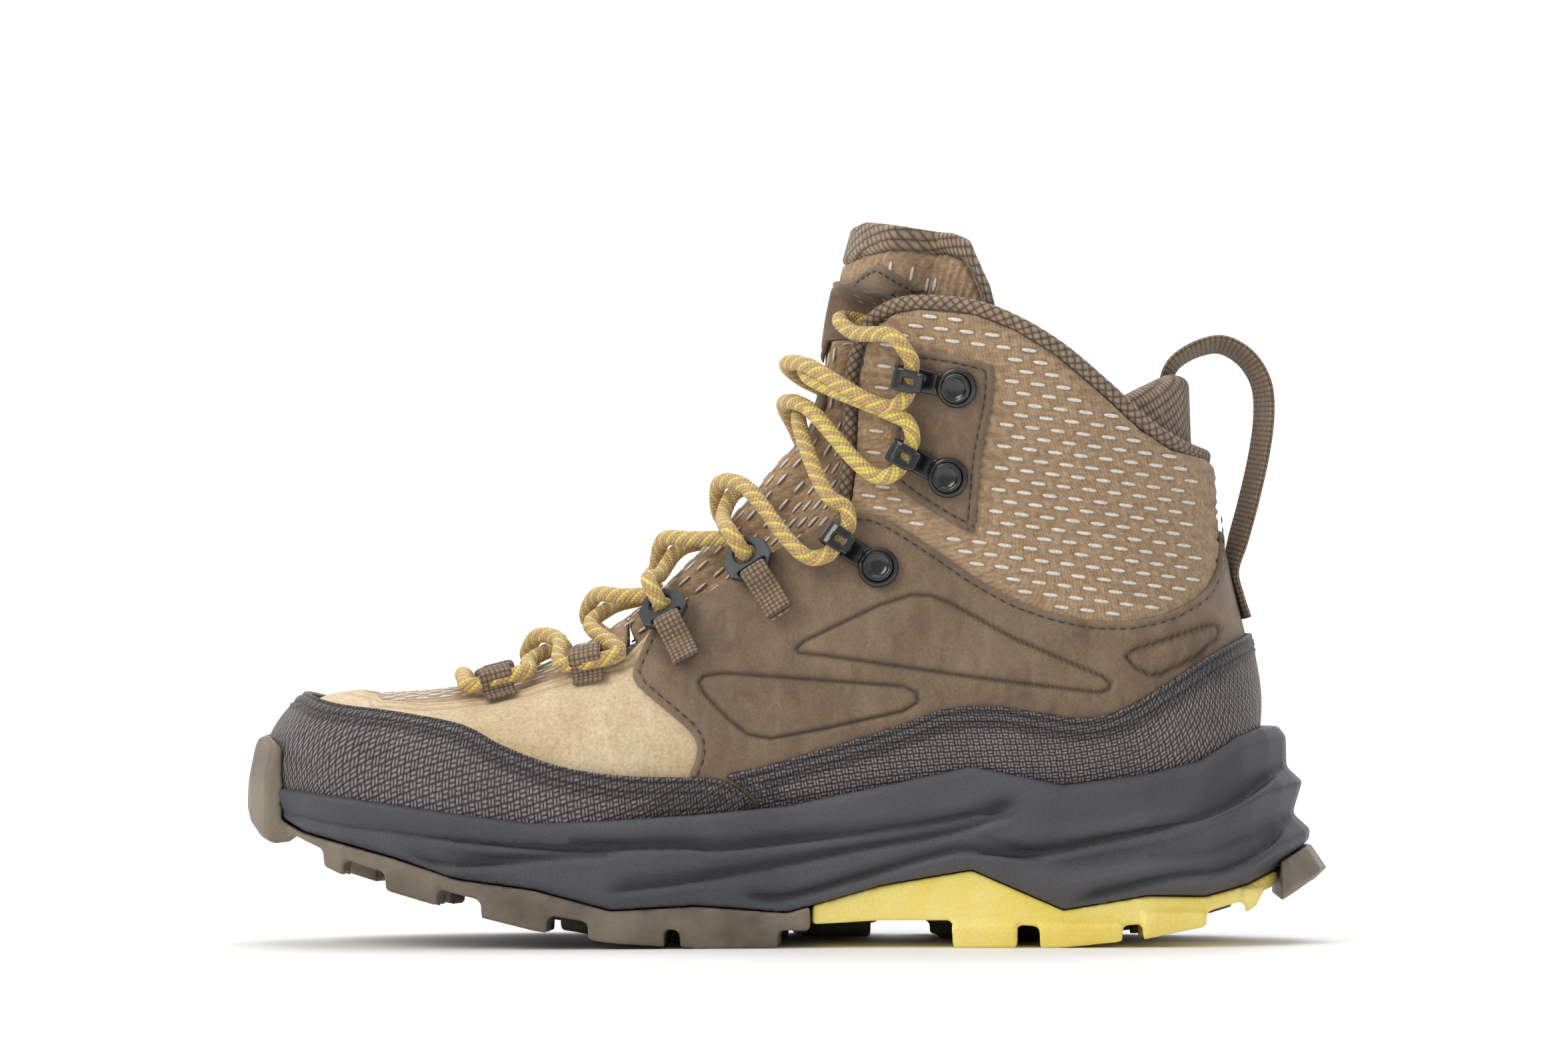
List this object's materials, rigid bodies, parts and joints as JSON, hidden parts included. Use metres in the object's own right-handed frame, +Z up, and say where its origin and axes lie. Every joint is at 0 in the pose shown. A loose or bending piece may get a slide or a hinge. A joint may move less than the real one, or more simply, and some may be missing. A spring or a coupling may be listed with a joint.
{
  "type": "hiking boot",
  "caption": "Laced mid-height hiking boot, right foot: lugged rubber sole, foam midsole, layered upper, padded ankle collar, tongue and hook lacing.",
  "frame": {"origin": "bottom centre of the boot's bounding box, on the ground, measured without the lace", "axes": "+Z up, toe towards -X, heel towards +X, inner side of the foot towards -Y"},
  "size_m": [0.2858, 0.1046, 0.19],
  "materials": {
    "rubber": "matte",
    "yellow_rubber": "satin",
    "foam": "matte",
    "nylon_plate": "satin",
    "board": "matte",
    "lining": "matte",
    "knit": "matte",
    "softshell": "matte",
    "suede": "matte",
    "nubuck": "matte",
    "ballistic_nylon": "matte",
    "webbing": "matte",
    "lace_braid": "matte",
    "black_metal": "glossy"
  },
  "bodies": {
    "boot": {"outsole_forefoot": "rubber", "outsole_heel": "rubber", "outsole_insert": "yellow_rubber", "midsole": "foam", "shank_plate": "nylon_plate", "insole_board": "board", "footbed": "lining", "inner_bootie": "lining", "toe_puff": "board", "heel_counter": "board", "heel_pad": "knit", "vamp_mesh": "softshell", "vamp_suede": "suede", "body_medial": "softshell", "body_lateral": "softshell", "quarter_medial": "nubuck", "quarter_lateral": "nubuck", "front_rand": "ballistic_nylon", "rear_rand": "ballistic_nylon", "eyelet_patch_medial": "nubuck", "eyelet_patch_lateral": "nubuck", "collar_binding": "knit", "pull_loop": "webbing", "hook_1": "black_metal", "hook_rivet_1": "black_metal", "hook_washer_1": "black_metal", "hook_2": "black_metal", "hook_rivet_2": "black_metal", "hook_washer_2": "black_metal", "hook_3": "black_metal", "hook_rivet_3": "black_metal", "hook_washer_3": "black_metal", "hook_4": "black_metal", "hook_rivet_4": "black_metal", "hook_washer_4": "black_metal", "hook_5": "black_metal", "hook_rivet_5": "black_metal", "hook_washer_5": "black_metal", "hook_6": "black_metal", "hook_rivet_6": "black_metal", "hook_washer_6": "black_metal", "lace_loop_1": "webbing", "ring_strap_1": "webbing", "lace_loop_2": "webbing", "ring_strap_2": "webbing", "lace_loop_3": "webbing", "ring_strap_3": "webbing", "lace_loop_4": "webbing", "ring_strap_4": "webbing", "lace": "lace_braid", "lace_tip_1": "nylon_plate", "lace_tip_2": "nylon_plate"},
    "tongue": {"tongue_pad": "softshell", "tongue_patch": "nubuck", "tongue_binding": "knit"},
    "ring_1": {"lace_ring_1": "nylon_plate"},
    "ring_2": {"lace_ring_2": "nylon_plate"},
    "ring_3": {"lace_ring_3": "nylon_plate"},
    "ring_4": {"lace_ring_4": "nylon_plate"}
  },
  "joints": [
    {"name": "tongue_hinge", "type": "hinge", "parent": "boot", "child": "tongue", "pos_m": [-0.0416, 0, 0.08], "axis": [0, 1, 0], "range_deg": [0, 5], "stiffness_Nm_per_rad": 3},
    {"name": "ring_swivel_1", "type": "hinge", "parent": "boot", "child": "ring_1", "pos_m": [-0.03106, -0.03149, 0.08479], "axis": [0.8852, -0.0331, 0.464], "range_deg": [-1, 5]},
    {"name": "ring_swivel_2", "type": "hinge", "parent": "boot", "child": "ring_2", "pos_m": [-0.00825, -0.03179, 0.09753], "axis": [0.8398, -0.063, 0.5392], "range_deg": [-1, 5]},
    {"name": "ring_swivel_3", "type": "hinge", "parent": "boot", "child": "ring_3", "pos_m": [-0.03118, 0.03421, 0.085], "axis": [-0.8821, -0.0442, -0.469], "range_deg": [-1, 5]},
    {"name": "ring_swivel_4", "type": "hinge", "parent": "boot", "child": "ring_4", "pos_m": [-0.00828, 0.0332, 0.09766], "axis": [-0.856, -0.0048, -0.517], "range_deg": [-1, 5]}
  ]
}
